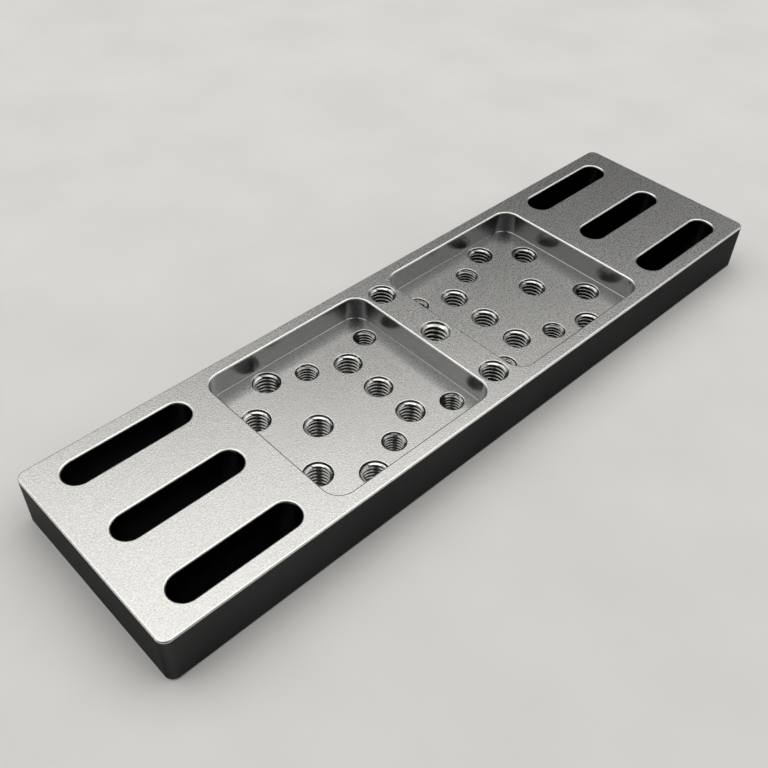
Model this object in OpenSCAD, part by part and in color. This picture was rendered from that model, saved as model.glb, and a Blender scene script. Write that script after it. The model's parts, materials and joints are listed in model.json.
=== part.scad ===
/* [Plate] */
// Length of the plate
plate_l = 180; // [172:0.5:220]
// Width of the plate
plate_w = 49.5; // [48.5:0.5:60]
// Thickness of the plate
plate_t = 12.5; // [9:0.5:20]
// Radius of the four upright corners
corner_r = 2; // [1:0.5:5]
// Leg of the 45 degree chamfer round every outer edge, pocket and slot
rim_chamfer = 0.4; // [0.2:0.1:0.5]

/* [Pockets] */
// Length of each pocket along the plate
pocket_l = 44.25; // [43.5:0.25:46]
// Width of each pocket across the plate
pocket_w = 43; // [42.5:0.5:44]
// Depth of each pocket below the top face
pocket_depth = 6; // [3:0.5:7]
// Radius in the pocket's upright corners
pocket_r = 4; // [2:0.5:5]
// Leg of the small chamfer where the pocket's walls meet its floor
floor_chamfer = 0.25; // [0.1:0.05:0.4]
// Width of the bridge between the two pockets
bridge_w = 8.75; // [8:0.25:9]

/* [Slots] */
// Length of each slot from end to end
slot_l = 29; // [20:0.5:30]
// Width of each slot
slot_w = 6.6; // [5.5:0.1:7]
// Distance from the middle of the plate to the middle of each slot, along the plate
slot_x = 69.2; // [69:0.1:70]
// Distance between neighbouring slots, across the plate
slot_pitch = 17.5; // [12:0.5:17.5]

/* [Tapped holes] */
// Spacing of the grid that the tapped holes lie on, along the plate
grid_x = 8.75; // [8.75:0.05:8.8]
// Distance from the centre line to the outer large holes
large_outer_y = 17.5; // [17:0.25:17.5]
// Distance from the centre line to the inner large holes
large_inner_y = 10; // [9:0.25:10.5]
// Distance from the centre line to the small holes
small_y = 14; // [13:0.25:14]
// Core diameter of the large metric thread
large_core_d = 5; // [4.8:0.1:5.2]
// Mouth diameter of the large metric holes
large_mouth_d = 6.8; // [6.2:0.1:6.8]
// Core diameter of the small metric thread
small_core_d = 4.2; // [4:0.1:4.4]
// Mouth diameter of the small metric holes
small_mouth_d = 5.7; // [5.2:0.1:6]
// Core diameter of the camera thread in the middle of the bridge
camera_core_d = 5.2; // [5:0.1:5.3]
// Mouth diameter of the camera thread
camera_mouth_d = 7; // [6.6:0.1:7]

/* [Hidden] */
$fn = 64;
// How far each cutting shape runs on past the face that it cuts
overrun = 0.3;
pocket_x = (bridge_w + pocket_l) / 2;
pocket_floor_z = plate_t - pocket_depth;
// Places of the large holes in one pocket, as grid columns along the plate and distances across it
large_places = [
    [4, -large_outer_y], [4, 0], [4, large_outer_y],
    [2, -large_inner_y], [2, 0], [2, large_inner_y],
    [5, -large_inner_y], [5, large_inner_y]
];
// Places of the small holes in one pocket, in the same way
small_places = [[1, -small_y], [1, small_y], [3, -small_y], [3, small_y]];

// Block with round corners, whose sides lean outwards by grow over its height
module leaning_block(l, w, r, h, grow) {
    straight_l = l - 2 * r;
    straight_w = w - 2 * r;
    rows = straight_w > 0 ? [-1, 1] : [0];
    for (x = [-1, 1], y = rows)
        translate([x * straight_l / 2, y * straight_w / 2, 0])
            cylinder(h = h, r1 = r, r2 = r + grow);
    rotate([90, 0, 90])
        linear_extrude(height = straight_l, center = true)
            leaning_section(w, h, grow);
    if (straight_w > 0)
        rotate([90, 0, 0])
            linear_extrude(height = straight_w, center = true)
                leaning_section(l, h, grow);
}

// Upright section of a leaning block
module leaning_section(w, h, grow) {
    polygon([[-w / 2, 0], [w / 2, 0], [w / 2 + grow, h], [-w / 2 - grow, h]]);
}

// Solid block of the plate, with its top and bottom edges chamfered
module plate_block() {
    c = rim_chamfer;
    leaning_block(plate_l - 2 * c, plate_w - 2 * c, corner_r - c, c, c);
    translate([0, 0, c])
        leaning_block(plate_l, plate_w, corner_r, plate_t - 2 * c, 0);
    translate([0, 0, plate_t - c])
        leaning_block(plate_l, plate_w, corner_r, c, -c);
}

// Chamfer that opens upwards from an outline, and runs on past the face above it
module rim_cutter(l, w, r, c) {
    leaning_block(l, w, r, c + overrun, c + overrun);
}

// Space of one pocket
module pocket_cutter() {
    f = floor_chamfer;
    translate([0, 0, pocket_floor_z])
        leaning_block(pocket_l - 2 * f, pocket_w - 2 * f, pocket_r - f, f, f);
    translate([0, 0, pocket_floor_z + f])
        leaning_block(pocket_l, pocket_w, pocket_r, pocket_depth - f - rim_chamfer, 0);
    translate([0, 0, plate_t - rim_chamfer])
        rim_cutter(pocket_l, pocket_w, pocket_r, rim_chamfer);
}

// Space of one slot, right through the plate
module slot_cutter() {
    translate([0, 0, rim_chamfer])
        leaning_block(slot_l, slot_w, slot_w / 2, plate_t - 2 * rim_chamfer, 0);
    translate([0, 0, plate_t - rim_chamfer])
        rim_cutter(slot_l, slot_w, slot_w / 2, rim_chamfer);
    translate([0, 0, rim_chamfer])
        mirror([0, 0, 1])
            rim_cutter(slot_l, slot_w, slot_w / 2, rim_chamfer);
}

// Space of one tapped hole from the underside up to a face at top_z, countersunk at both ends
module tapped_hole_cutter(core_d, mouth_d, top_z) {
    c = (mouth_d - core_d) / 2;
    cylinder(h = top_z, d = core_d);
    translate([0, 0, top_z - c])
        cylinder(h = c + overrun, d1 = core_d, d2 = mouth_d + 2 * overrun);
    translate([0, 0, -overrun])
        cylinder(h = c + overrun, d1 = mouth_d + 2 * overrun, d2 = core_d);
}

// Tapped holes in the floor of the pocket on one side
module pocket_holes(side) {
    for (p = large_places)
        translate([side * p[0] * grid_x, p[1], 0])
            tapped_hole_cutter(large_core_d, large_mouth_d, pocket_floor_z);
    for (p = small_places)
        translate([side * p[0] * grid_x, p[1], 0])
            tapped_hole_cutter(small_core_d, small_mouth_d, pocket_floor_z);
}

// Tapped holes in the bridge between the pockets
module bridge_holes() {
    for (side = [-1, 1])
        translate([0, side * large_outer_y, 0])
            tapped_hole_cutter(large_core_d, large_mouth_d, plate_t);
    tapped_hole_cutter(camera_core_d, camera_mouth_d, plate_t);
}

// Flat plate with two pockets, six slots and a grid of tapped holes, milled from one bar
module accessory_plate() {
    color("darkgray")
        difference() {
            plate_block();
            for (side = [-1, 1]) {
                translate([side * pocket_x, 0, 0])
                    pocket_cutter();
                pocket_holes(side);
                for (row = [-1 : 1])
                    translate([side * slot_x, row * slot_pitch, 0])
                        slot_cutter();
            }
            bridge_holes();
        }
}

accessory_plate();
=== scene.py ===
"""Telescope accessory plate: the machined metal with its cut threads, on a pale floor in soft light."""

import json
import math
from collections import namedtuple

import bpy
from mathutils import Matrix, Vector
from mathutils.geometry import delaunay_2d_cdt


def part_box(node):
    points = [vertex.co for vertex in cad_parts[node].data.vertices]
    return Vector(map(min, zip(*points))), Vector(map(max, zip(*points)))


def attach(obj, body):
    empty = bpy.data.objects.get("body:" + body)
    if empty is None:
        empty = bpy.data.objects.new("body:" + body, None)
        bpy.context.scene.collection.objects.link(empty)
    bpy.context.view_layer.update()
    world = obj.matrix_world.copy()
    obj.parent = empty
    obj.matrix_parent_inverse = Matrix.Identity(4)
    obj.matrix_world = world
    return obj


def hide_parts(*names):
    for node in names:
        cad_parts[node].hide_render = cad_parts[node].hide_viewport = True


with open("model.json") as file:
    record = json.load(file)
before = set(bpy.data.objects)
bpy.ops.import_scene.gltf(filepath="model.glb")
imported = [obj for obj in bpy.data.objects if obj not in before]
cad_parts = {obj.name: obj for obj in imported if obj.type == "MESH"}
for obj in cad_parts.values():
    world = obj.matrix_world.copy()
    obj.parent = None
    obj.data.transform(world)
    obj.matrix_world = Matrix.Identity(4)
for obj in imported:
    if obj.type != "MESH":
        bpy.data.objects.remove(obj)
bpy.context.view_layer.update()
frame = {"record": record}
scene = bpy.context.scene

# Sizes of the plate, in millimetres, from the frame
MM = 0.001
NODE = "accessory_plate"
low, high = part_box(NODE)
LENGTH = (high.x - low.x) / MM
WIDTH = (high.y - low.y) / MM
THICKNESS = (high.z - low.z) / MM
MOUNTS = {mount["name"]: mount for mount in frame["record"]["mounts"]}
FLOOR_Z = MOUNTS["pocket_a_floor"]["pos_m"][2] / MM
SLOT_LENGTH = MOUNTS["middle_slots"]["dims"]["slot_length_mm"]
SLOT_RADIUS = MOUNTS["middle_slots"]["dims"]["hole_r_mm"]

# Sizes that the frame doesn't name, in millimetres
CORNER_RADIUS = 2.0
RIM_RADIUS = 0.4
POCKET_LENGTH = 44.25
POCKET_WIDTH = 43.0
POCKET_RADIUS = 4.0
BRIDGE_WIDTH = 8.75
# Chamfer at the foot of a pocket's walls, and how far the shading of its upper half leans up
FLOOR_CHAMFER = 0.25
FOOT_LEAN = math.radians(50)
# Width and drop of the rounded lip at a tapped hole's mouth
LIP_WIDTH = 0.18
LIP_DROP = 0.07

# Fineness of the mesh: steps in a quarter corner, across a rim and round a hole
ARC_STEPS = 14
RIM_STEPS = 6
HOLE_STEPS = 56
# Edges sharper than this angle aren't smoothed, and points closer than this distance are one
SHARP_ANGLE = math.radians(30)
SAME_POINT = 1e-6

# Thread profile over one turn: share of the pitch, and share of the depth from crest to root
PROFILE = [(0.0, 0.0), (0.34, 0.0), (0.485, 0.5), (0.63, 1.0), (0.71, 1.0), (0.855, 0.5)]
# Least distance between a thread's vertices and the face it runs out in, in millimetres
RUN_OUT = 0.02

# Numbers of the looks on the plate
BLASTED, SIDE, SLOT, WALL, RIM, THREAD = range(6)

# Threads, with the radii of root and mouth and the pitch in millimetres. Each starts at that share of
# a turn. The ledge it runs out in has its own look, which at the upper end goes on to the ledge's depth.
# The rim look there is a painted highlight, the thread look painted shade
Thread = namedtuple("Thread", "root pitch mouth start ledge ledge_depth")
LARGE_THREAD = Thread(root=3.0, pitch=1.0, mouth=3.4, start=0.48, ledge=RIM, ledge_depth=0.0)
SMALL_THREAD = Thread(root=2.5, pitch=0.8, mouth=2.85, start=0.60, ledge=THREAD, ledge_depth=0.0)
CAMERA_THREAD = Thread(root=3.175, pitch=1.27, mouth=3.5, start=0.61, ledge=RIM, ledge_depth=0.7)

# Share of a noise's range, at its low and at its high end, over which a look doesn't change
FLAT_SHARE = 0.3


class Shell:
    """Vertices, faces, looks and shading normals of one closed surface, in millimetres."""

    def __init__(self):
        self.points = []
        self.faces = []
        self.looks = []
        self.normals = []

    def vertex(self, x, y, z):
        """Adds a vertex and returns its number."""
        self.points.append((x, y, z))
        return len(self.points) - 1

    def ring(self, outline, z):
        """Adds a loop of vertices at one height and returns their numbers."""
        return [self.vertex(x, y, z) for x, y, _, _ in outline]

    def face(self, corners, look, normals=None):
        """Adds a face. Without normals, its shading follows the mesh."""
        self.faces.append(corners)
        self.looks.append(look)
        self.normals += normals or [(0, 0, 0)] * len(corners)

    def sweep(self, outline_at, rows, inward):
        """Wall along an outline, from the bottom up. Each row gives a ring's growth of the outline
        and its height, then the look of the band above it, and the angles by which that band's
        shading leans up where it starts and where it ends. Returns the lowest and highest ring."""
        turn = -1 if inward else 1
        outlines = [outline_at(grow) for grow, *_ in rows]
        rings = [self.ring(outline, row[1]) for outline, row in zip(outlines, rows)]
        for k, (_, _, look, start, end) in enumerate(rows[:-1]):
            lower, upper = rings[k], rings[k + 1]
            leaning = [
                [
                    (out_x * turn * math.cos(lean), out_y * turn * math.cos(lean), math.sin(lean))
                    for _, _, out_x, out_y in outlines[k]
                ]
                for lean in (start, end)
            ]
            for i in range(len(lower)):
                j = (i + 1) % len(lower)
                corners = [lower[i], lower[j], upper[j], upper[i]]
                normals = [leaning[0][i], leaning[0][j], leaning[1][j], leaning[1][i]]
                self.face(corners[::turn], look, normals[::turn])
        return rings[0], rings[-1]

    def cap(self, outer, holes, look, up):
        """Fills the flat area between an outer ring and the rings of the holes in it."""
        rings = [outer] + holes
        numbers = [number for ring in rings for number in ring]
        owner = [k for k, ring in enumerate(rings) for _ in ring]
        edges = []
        for ring in rings:
            start = len(edges)
            edges += [(start + i, start + (i + 1) % len(ring)) for i in range(len(ring))]
        plan = [Vector(self.points[number][:2]) for number in numbers]
        _, _, triangles, sources, _, _ = delaunay_2d_cdt(plan, edges, [], 1, SAME_POINT)
        turn = 1 if up else -1
        for triangle in triangles:
            corners = [sources[corner][0] for corner in triangle]
            owners = {owner[corner] for corner in corners}
            inside_hole = len(owners) == 1 and owners != {0}
            if inside_hole:
                continue
            self.face([numbers[corner] for corner in corners][::turn], look, [(0, 0, turn)] * 3)

    def build(self, name, looks):
        """Makes the Blender object."""
        mesh = bpy.data.meshes.new(name)
        mesh.from_pydata([[value * MM for value in point] for point in self.points], [], self.faces)
        for look in looks:
            mesh.materials.append(look)
        mesh.polygons.foreach_set("material_index", self.looks)
        mesh.shade_smooth()
        mesh.set_sharp_from_angle(angle=SHARP_ANGLE)
        mesh.normals_split_custom_set(self.normals)
        made = bpy.data.objects.new(name, mesh)
        scene.collection.objects.link(made)
        return made


def rounded_outline(x, y, length, width, radius, grow):
    """Points round a rectangle with round corners, anticlockwise, each with its outward direction.
    The outline is moved outwards by grow."""
    outline = []
    for quarter, (side_x, side_y) in enumerate([(1, 1), (-1, 1), (-1, -1), (1, -1)]):
        middle_x = x + side_x * (length / 2 - radius)
        middle_y = y + side_y * (width / 2 - radius)
        for step in range(ARC_STEPS + 1):
            angle = (quarter + step / ARC_STEPS) * math.pi / 2
            out_x, out_y = math.cos(angle), math.sin(angle)
            reach = radius + grow
            outline.append((middle_x + reach * out_x, middle_y + reach * out_y, out_x, out_y))
    return [
        point
        for point, before in zip(outline, outline[-1:] + outline[:-1])
        if math.dist(point[:2], before[:2]) > SAME_POINT
    ]


def rim_rows(face_z, below, inward):
    """Rows of a rounded rim between a wall and the flat face below or above it, for Shell.sweep."""
    side = 1 if inward else -1
    angles = [math.pi / 2 * step / RIM_STEPS for step in range(RIM_STEPS + 1)]
    if below:
        angles = [-angle for angle in reversed(angles)]
    middle = face_z + RIM_RADIUS if below else face_z - RIM_RADIUS
    # Rims take the brighter rim look: a painted highlight
    return [
        (side * RIM_RADIUS * (1 - math.cos(a)), middle + RIM_RADIUS * math.sin(a), RIM, a, b)
        for a, b in zip(angles, angles[1:] + [0])
    ]


def through_wall(shell, outline_at, inward):
    """Wall from the underside to the top face with a rounded rim at both ends."""
    lower = rim_rows(0, below=True, inward=inward)[:-1]
    upper = rim_rows(THICKNESS, below=False, inward=inward)
    wall = [(0, RIM_RADIUS, SLOT if inward else SIDE, 0, 0)]
    return shell.sweep(outline_at, lower + wall + upper, inward)


def outer_wall(shell):
    """Outer surface of the plate. Returns its rings in the underside and in the top face."""
    def outline_at(grow):
        return rounded_outline(0, 0, LENGTH, WIDTH, CORNER_RADIUS, grow)

    return through_wall(shell, outline_at, inward=False)


def slot(shell, x, y):
    """Walls of one slot. Returns its rings in the underside and in the top face."""
    def outline_at(grow):
        return rounded_outline(x, y, SLOT_LENGTH, 2 * SLOT_RADIUS, SLOT_RADIUS, grow)

    return through_wall(shell, outline_at, inward=True)


def pocket(shell, side):
    """Walls of one pocket. Returns its rings in the floor and in the top face."""
    middle = side * (BRIDGE_WIDTH + POCKET_LENGTH) / 2

    def outline_at(grow):
        return rounded_outline(middle, 0, POCKET_LENGTH, POCKET_WIDTH, POCKET_RADIUS, grow)

    wall = [
        (-FLOOR_CHAMFER, FLOOR_Z, BLASTED, math.pi / 2, math.pi / 2),
        (-FLOOR_CHAMFER / 2, FLOOR_Z + FLOOR_CHAMFER / 2, WALL, FOOT_LEAN, FOOT_LEAN),
        (0, FLOOR_Z + FLOOR_CHAMFER, WALL, 0, 0),
    ]
    rim = rim_rows(THICKNESS, below=False, inward=True)
    return shell.sweep(outline_at, wall + rim, inward=True)


def mouth(shell, round_ring, z, up, reach, core):
    """Countersink at one end of a tapped hole, which ends half way in to the core, with a rounded lip.
    Returns the ring in the face and the ring where the thread begins, and the height of that ring."""
    sense = 1 if up else -1
    leg = (reach - core) / 2
    lean = math.atan2(leg - LIP_WIDTH, leg - LIP_DROP)
    rings = [
        round_ring(reach, z),
        round_ring(reach - LIP_WIDTH, z - sense * LIP_DROP),
        round_ring(reach - leg, z - sense * leg),
    ]
    # The lip takes the rim look, a painted highlight, and the countersink the thread look, painted shade
    bands = [(RIM, math.pi / 2, lean), (THREAD, lean, lean)]
    for outer, inner, (look, start, end) in zip(rings, rings[1:], bands):
        for i in range(HOLE_STEPS):
            j = (i + 1) % HOLE_STEPS
            corners = [outer[j], outer[i], inner[i], inner[j]]
            normals = []
            for n, angle in ((j, start), (i, start), (i, end), (j, end)):
                turn = 2 * math.pi * n / HOLE_STEPS
                flat = math.cos(angle)
                normals.append((-flat * math.cos(turn), -flat * math.sin(turn), sense * math.sin(angle)))
            shell.face(corners[::-sense], look, normals[::-sense])
    return rings[0], rings[-1], z - sense * leg


def tapped_hole(shell, x, y, top, core, thread):
    """Right-hand thread in a hole countersunk at both ends. Returns its rings below and above."""
    directions = [
        (math.cos(2 * math.pi * i / HOLE_STEPS), math.sin(2 * math.pi * i / HOLE_STEPS))
        for i in range(HOLE_STEPS)
    ]

    def round_ring(reach, z):
        return [shell.vertex(x + reach * u, y + reach * v, z) for u, v in directions]

    bottom_face, bottom_ring, lowest = mouth(shell, round_ring, 0, False, thread.mouth, core)
    top_face, top_ring, highest = mouth(shell, round_ring, top, True, thread.mouth, core)
    # The rows begin and end past the mouths, and what lies past a mouth's ring is gathered in it
    per_turn = len(PROFILE)
    rows = range(-2 * per_turn, (math.ceil(top / thread.pitch) + 3) * per_turn)
    columns = []
    for i, (u, v) in enumerate(directions):
        column = []
        for row in rows:
            share, depth = PROFILE[row % per_turn]
            z = thread.pitch * (row // per_turn + share + thread.start + i / HOLE_STEPS)
            if z < lowest + RUN_OUT:
                column.append(bottom_ring[i])
            elif z > highest - RUN_OUT:
                column.append(top_ring[i])
            else:
                reach = core + depth * (thread.root - core)
                column.append(shell.vertex(x + reach * u, y + reach * v, z))
        columns.append(column)
    # Round the hole, the last column meets the first one a turn higher
    columns.append(columns[0][per_turn:])
    mouths = {*bottom_ring, *top_ring}
    for left, right in zip(columns, columns[1:]):
        for row in range(min(len(left), len(right)) - 1):
            corners = [left[row], left[row + 1], right[row + 1], right[row]]
            corners = [n for k, n in enumerate(corners) if n != corners[k - 1]]
            if len(corners) < 3:
                continue
            lowest_corner = min(shell.points[n][2] for n in corners)
            below_ledge = lowest_corner <= highest - thread.ledge_depth
            plain = below_ledge and mouths.isdisjoint(corners)
            shell.face(corners, THREAD if plain else thread.ledge)
    return bottom_face, top_face


def pattern_places(name):
    """Places of the holes of one mount, in millimetres."""
    x, y, _ = MOUNTS[name]["pos_m"]
    dims = MOUNTS[name]["dims"]
    span_x, span_y = dims.get("spacing_x_mm", 0) / 2, dims.get("spacing_y_mm", 0) / 2
    return sorted({
        (x / MM + side_x * span_x, y / MM + side_y * span_y)
        for side_x in (-1, 1)
        for side_y in (-1, 1)
    })


def tapped_pattern(shell, name, radius, top, thread):
    """Tapped holes at the places of one mount, whose core has the radius of that name. Returns their
    rings below and their rings above."""
    core = MOUNTS[name]["dims"][radius]
    rings = [tapped_hole(shell, x, y, top, core, thread) for x, y in pattern_places(name)]
    return [below for below, _ in rings], [above for _, above in rings]


def plate(looks):
    """The whole plate as one closed mesh."""
    shell = Shell()
    bottom, top = outer_wall(shell)
    bottom_holes, top_holes = [], []
    for name in ("outer_slots", "middle_slots"):
        for x, y in pattern_places(name):
            below, above = slot(shell, x, y)
            bottom_holes.append(below)
            top_holes.append(above)
    for side, letter in ((-1, "a"), (1, "b")):
        floor, rim = pocket(shell, side)
        top_holes.append(rim)
        floor_holes = []
        for kind, thread in (
            ("large_four", LARGE_THREAD),
            ("large_across", LARGE_THREAD),
            ("large_along", LARGE_THREAD),
            ("small_four", SMALL_THREAD),
        ):
            name = f"pocket_{letter}_{kind}"
            below, above = tapped_pattern(shell, name, "hole_r_mm", FLOOR_Z, thread)
            bottom_holes += below
            floor_holes += above
        shell.cap(floor, floor_holes, BLASTED, up=True)
    for name, radius, thread in (
        ("bridge_pair", "hole_r_mm", LARGE_THREAD),
        ("camera_thread", "r_mm", CAMERA_THREAD),
    ):
        below, above = tapped_pattern(shell, name, radius, THICKNESS, thread)
        bottom_holes += below
        top_holes += above
    shell.cap(top, top_holes, BLASTED, up=True)
    shell.cap(bottom, bottom_holes, BLASTED, up=False)
    return shell.build("accessory_plate_machined", looks)


class Look:
    """A material whose nodes all read the object's own coordinates, in metres."""

    def __init__(self, name, metallic):
        self.material = bpy.data.materials.new(name)
        self.material.use_nodes = True
        self.tree = self.material.node_tree
        self.shader = self.tree.nodes["Principled BSDF"]
        self.shader.inputs["Metallic"].default_value = metallic
        self.place = self.tree.nodes.new("ShaderNodeTexCoord").outputs["Object"]

    def node(self, kind, **values):
        """Adds a node and sets its properties."""
        made = self.tree.nodes.new(kind)
        for key, value in values.items():
            setattr(made, key, value)
        return made

    def link(self, start, end):
        """Joins an output to an input."""
        self.tree.links.new(start, end)

    def grain(self, size, detail, stretch=(1, 1, 1)):
        """Noise whose features are about that size in millimetres, longer along stretched axes."""
        mapping = self.node("ShaderNodeMapping")
        mapping.inputs["Scale"].default_value = [1 / (size * MM * s) for s in stretch]
        self.link(self.place, mapping.inputs["Vector"])
        noise = self.node("ShaderNodeTexNoise")
        noise.inputs["Scale"].default_value = 1
        noise.inputs["Detail"].default_value = detail
        self.link(mapping.outputs["Vector"], noise.inputs["Vector"])
        return noise.outputs["Fac"]

    def blend(self, a, b, share):
        """Mixes two noises, with that share of the second."""
        mix = self.node("ShaderNodeMix", data_type="FLOAT")
        mix.inputs[0].default_value = share
        self.link(a, mix.inputs[2])
        self.link(b, mix.inputs[3])
        return mix.outputs[0]

    def tint(self, source, dark, light):
        """Colour that runs from dark to light over the middle of a noise."""
        ramp = self.node("ShaderNodeValToRGB")
        for element, place, colour in zip(
            ramp.color_ramp.elements, (FLAT_SHARE, 1 - FLAT_SHARE), (dark, light)
        ):
            element.position = place
            element.color = (*colour, 1)
        self.link(source, ramp.inputs["Fac"])
        self.link(ramp.outputs["Color"], self.shader.inputs["Base Color"])

    def gloss(self, source, smooth, rough):
        """Roughness that runs between two values over the middle of a noise."""
        spread = self.node("ShaderNodeMapRange")
        spread.inputs["From Min"].default_value = FLAT_SHARE
        spread.inputs["From Max"].default_value = 1 - FLAT_SHARE
        spread.inputs["To Min"].default_value = smooth
        spread.inputs["To Max"].default_value = rough
        self.link(source, spread.inputs["Value"])
        self.link(spread.outputs["Result"], self.shader.inputs["Roughness"])

    def bump(self, source, height):
        """Relief of that height in millimetres."""
        relief = self.node("ShaderNodeBump")
        relief.inputs["Distance"].default_value = height * MM
        self.link(source, relief.inputs["Height"])
        self.link(relief.outputs["Normal"], self.shader.inputs["Normal"])


def blasted_look():
    """Bead blasted and anodised grey: a fine even grain with faint cloudiness."""
    look = Look("blasted_metal", metallic=1.0)
    fine = look.grain(0.28, detail=3)
    coarse = look.grain(0.38, detail=3)
    cloud = look.grain(9, detail=2)
    look.tint(look.blend(fine, cloud, 0.12), dark=(0.42, 0.42, 0.414), light=(0.54, 0.54, 0.53))
    look.gloss(coarse, smooth=0.21, rough=0.41)
    look.bump(look.blend(fine, coarse, 0.4), height=0.04)
    return look.material


def painted_shade_side_look(name, dark, light, edge):
    """The plate's outer sides and slot walls: the same grey with a finer relief, and a darker base
    colour that is painted shade. The edge value dims what they mirror at a grazing angle, painting shade
    too."""
    look = Look(name, metallic=1.0)
    fine = look.grain(0.3, detail=2)
    cloud = look.grain(14, detail=2)
    look.tint(look.blend(fine, cloud, 0.35), dark, light)
    look.gloss(fine, smooth=0.30, rough=0.40)
    look.bump(fine, height=0.01)
    look.shader.inputs["Specular Tint"].default_value = (edge, edge, edge, 1)
    return look.material


def painted_shade_wall_look():
    """Milled pocket walls: smoother than the faces, with faint cutter lines round them, and a darker
    base colour that is painted shade.
    """
    look = Look("milled_wall_painted_shade", metallic=1.0)
    lines = look.grain(0.25, detail=2, stretch=(40, 40, 1))
    fine = look.grain(0.4, detail=2)
    # Darker base than the faces: painted shade
    look.tint(look.blend(lines, fine, 0.3), dark=(0.21, 0.215, 0.22), light=(0.27, 0.275, 0.28))
    look.gloss(fine, smooth=0.20, rough=0.26)
    look.bump(lines, height=0.001)
    return look.material


def painted_highlight_rim_look():
    """Rounded rims, a little brighter than the faces: a painted highlight."""
    look = Look("rim_painted_highlight", metallic=1.0)
    fine = look.grain(0.3, detail=2)
    cloud = look.grain(5, detail=2)
    look.tint(look.blend(fine, cloud, 0.5), dark=(0.54, 0.54, 0.534), light=(0.66, 0.66, 0.65))
    look.gloss(fine, smooth=0.28, rough=0.34)
    look.bump(fine, height=0.006)
    return look.material


def painted_shade_thread_look():
    """Cut threads: smoother than the faces, with fine lines along the turn, and a darker base colour
    that is painted shade.
    """
    look = Look("cut_thread_painted_shade", metallic=1.0)
    lines = look.grain(0.1, detail=2, stretch=(20, 20, 1))
    cloud = look.grain(1.5, detail=2)
    look.tint(look.blend(lines, cloud, 0.5), dark=(0.172, 0.172, 0.168), light=(0.28, 0.28, 0.271))
    look.gloss(cloud, smooth=0.16, rough=0.22)
    look.bump(lines, height=0.001)
    return look.material


# The plate stands for the solid of the frame, with its threads cut. The looks follow their numbers
made = plate([
    blasted_look(),
    # Sides and slot walls are darker copies of the face's grey: painted shade, darkest in the slots
    painted_shade_side_look("side_metal_painted_shade", dark=(0.048, 0.048, 0.049), light=(0.072, 0.072, 0.073), edge=0.4),
    painted_shade_side_look("slot_metal_painted_shade", dark=(0.018, 0.018, 0.0185), light=(0.030, 0.030, 0.0305), edge=0.1),
    painted_shade_wall_look(),
    painted_highlight_rim_look(),
    painted_shade_thread_look(),
])
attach(made, "root")
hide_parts(NODE)


# Floor in metres: half its width, and how far below the plate it lies
FLOOR_HALF = 3.0
FLOOR_DROP = 0.0001

# Soft lights, in metres and degrees: the level ones hang over the plate, the panels stand beside it
LIGHT_COLOUR = (1.0, 0.985, 0.95)
LIGHT_HEADING = 45
LIGHT_HEIGHT = 0.8
LIGHT_RADIANCE = 1.9
PANEL_ASIDE = 1.5
PANEL_MIDDLE = 0.36
PANEL_LENGTH = 1.6
PANEL_HEIGHT = 0.5
PANEL_RADIANCE = 1.45
WORLD_COLOUR = (0.10, 0.10, 0.10)

# Camera at the photo's place, in millimetres and degrees in the plate's own frame
CAMERA_PLACE = (-121.48, -105.58, 152.22)
CAMERA_HEADING = 44.989
CAMERA_ELEVATION = 44.362
CAMERA_ROLL = 1.991
# Focal length as a share of the picture's width, sensor in millimetres and near limit in metres
FOCAL_SHARE = 943.24 / 768
SENSOR_WIDTH = 36.0
NEAR_LIMIT = 0.01


def stage_floor():
    """Large pale floor just under the plate."""
    mesh = bpy.data.meshes.new("floor")
    corners = [
        (side_x * FLOOR_HALF, side_y * FLOOR_HALF, -FLOOR_DROP)
        for side_x, side_y in ((-1, -1), (1, -1), (1, 1), (-1, 1))
    ]
    mesh.from_pydata(corners, [], [(0, 1, 2, 3)])
    look = Look("pale_floor", metallic=0.0)
    look.tint(look.grain(30, detail=3), dark=(0.60, 0.60, 0.595), light=(0.64, 0.64, 0.635))
    look.shader.inputs["Roughness"].default_value = 0.9
    look.shader.inputs["Specular IOR Level"].default_value = 0.2
    mesh.materials.append(look.material)
    floor = bpy.data.objects.new("floor", mesh)
    scene.collection.objects.link(floor)


def area_light(name, ahead, aside, height, length, depth, radiance):
    """Rectangular light. Ahead is away from the camera and aside is to its right."""
    data = bpy.data.lights.new(name, "AREA")
    data.shape = "RECTANGLE"
    data.size = length
    data.size_y = depth
    data.energy = radiance * math.pi * length * depth
    data.color = LIGHT_COLOUR
    lamp = bpy.data.objects.new(name, data)
    turn = math.radians(LIGHT_HEADING)
    lamp.location = (
        ahead * math.cos(turn) + aside * math.sin(turn),
        ahead * math.sin(turn) - aside * math.cos(turn),
        height,
    )
    scene.collection.objects.link(lamp)
    return lamp


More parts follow.
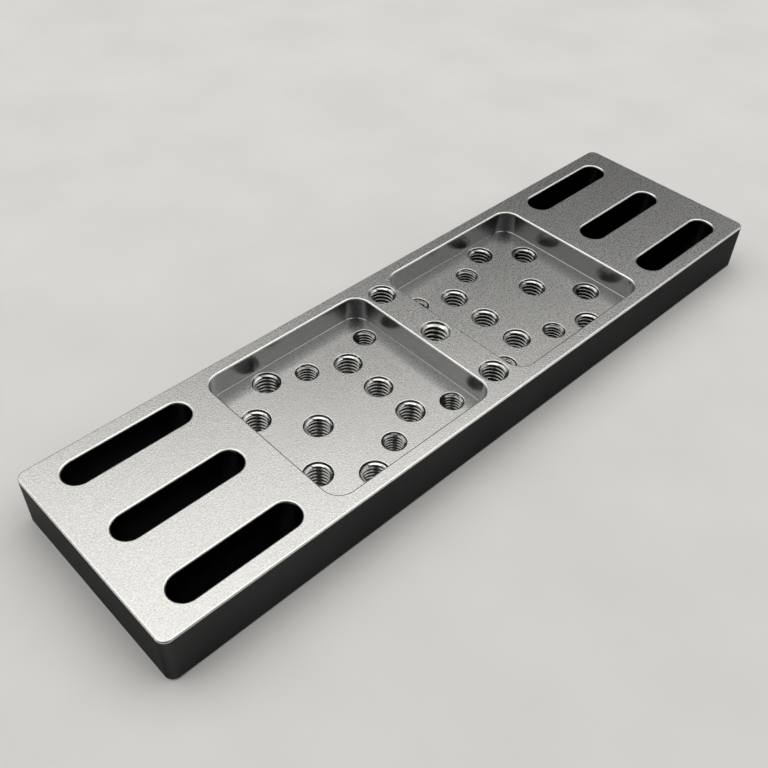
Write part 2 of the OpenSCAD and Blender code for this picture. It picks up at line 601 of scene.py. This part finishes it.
def level_light(name, ahead, aside, length, depth, skew):
    """Soft light that shines down, turned by skew degrees from the lights' heading."""
    lamp = area_light(name, ahead, aside, LIGHT_HEIGHT, length, depth, LIGHT_RADIANCE)
    lamp.rotation_euler.z = math.radians(LIGHT_HEADING - 90 + skew)


def side_panel(name, side):
    """Upright soft light that faces the plate from its left or right, itself out of the picture."""
    aside = side * PANEL_ASIDE
    lamp = area_light(name, 0.0, aside, PANEL_MIDDLE, PANEL_LENGTH, PANEL_HEIGHT, PANEL_RADIANCE)
    lamp.rotation_euler = (math.pi / 2, 0, math.radians(LIGHT_HEADING - 90 + 90 * side))
    lamp.visible_camera = False


def stage_lights():
    """Soft lights above and behind the plate and on both sides of it, and a plain grey world."""
    level_light("overhead", ahead=0.27, aside=0.0, length=2.0, depth=0.94, skew=5)
    level_light("left", ahead=-0.35, aside=-0.6, length=0.8, depth=0.3, skew=0)
    level_light("right", ahead=-0.35, aside=0.6, length=0.8, depth=0.3, skew=0)
    side_panel("left_panel", -1)
    side_panel("right_panel", 1)
    world = bpy.data.worlds.new("studio")
    world.use_nodes = True
    background = world.node_tree.nodes["Background"]
    background.inputs["Color"].default_value = (*WORLD_COLOUR, 1)
    background.inputs["Strength"].default_value = 1.0
    scene.world = world


def stage_camera():
    """Camera with the photo's view, which the scene is rendered through."""
    heading = math.radians(CAMERA_HEADING)
    elevation = math.radians(CAMERA_ELEVATION)
    roll = math.radians(CAMERA_ROLL)
    forward = Vector((
        math.cos(heading) * math.cos(elevation),
        math.sin(heading) * math.cos(elevation),
        -math.sin(elevation),
    ))
    level = forward.cross(Vector((0, 0, 1))).normalized()
    rise = level.cross(forward)
    right = level * math.cos(roll) + rise * math.sin(roll)
    up = right.cross(forward)
    data = bpy.data.cameras.new("camera")
    data.sensor_width = SENSOR_WIDTH
    data.lens = SENSOR_WIDTH * FOCAL_SHARE
    data.clip_start = NEAR_LIMIT
    camera = bpy.data.objects.new("camera", data)
    turn = Matrix((right, up, -forward)).transposed().to_4x4()
    camera.matrix_world = Matrix.Translation(Vector(CAMERA_PLACE) * MM) @ turn
    scene.collection.objects.link(camera)
    scene.camera = camera


stage_floor()
stage_lights()
stage_camera()
scene.view_settings.view_transform = "Standard"
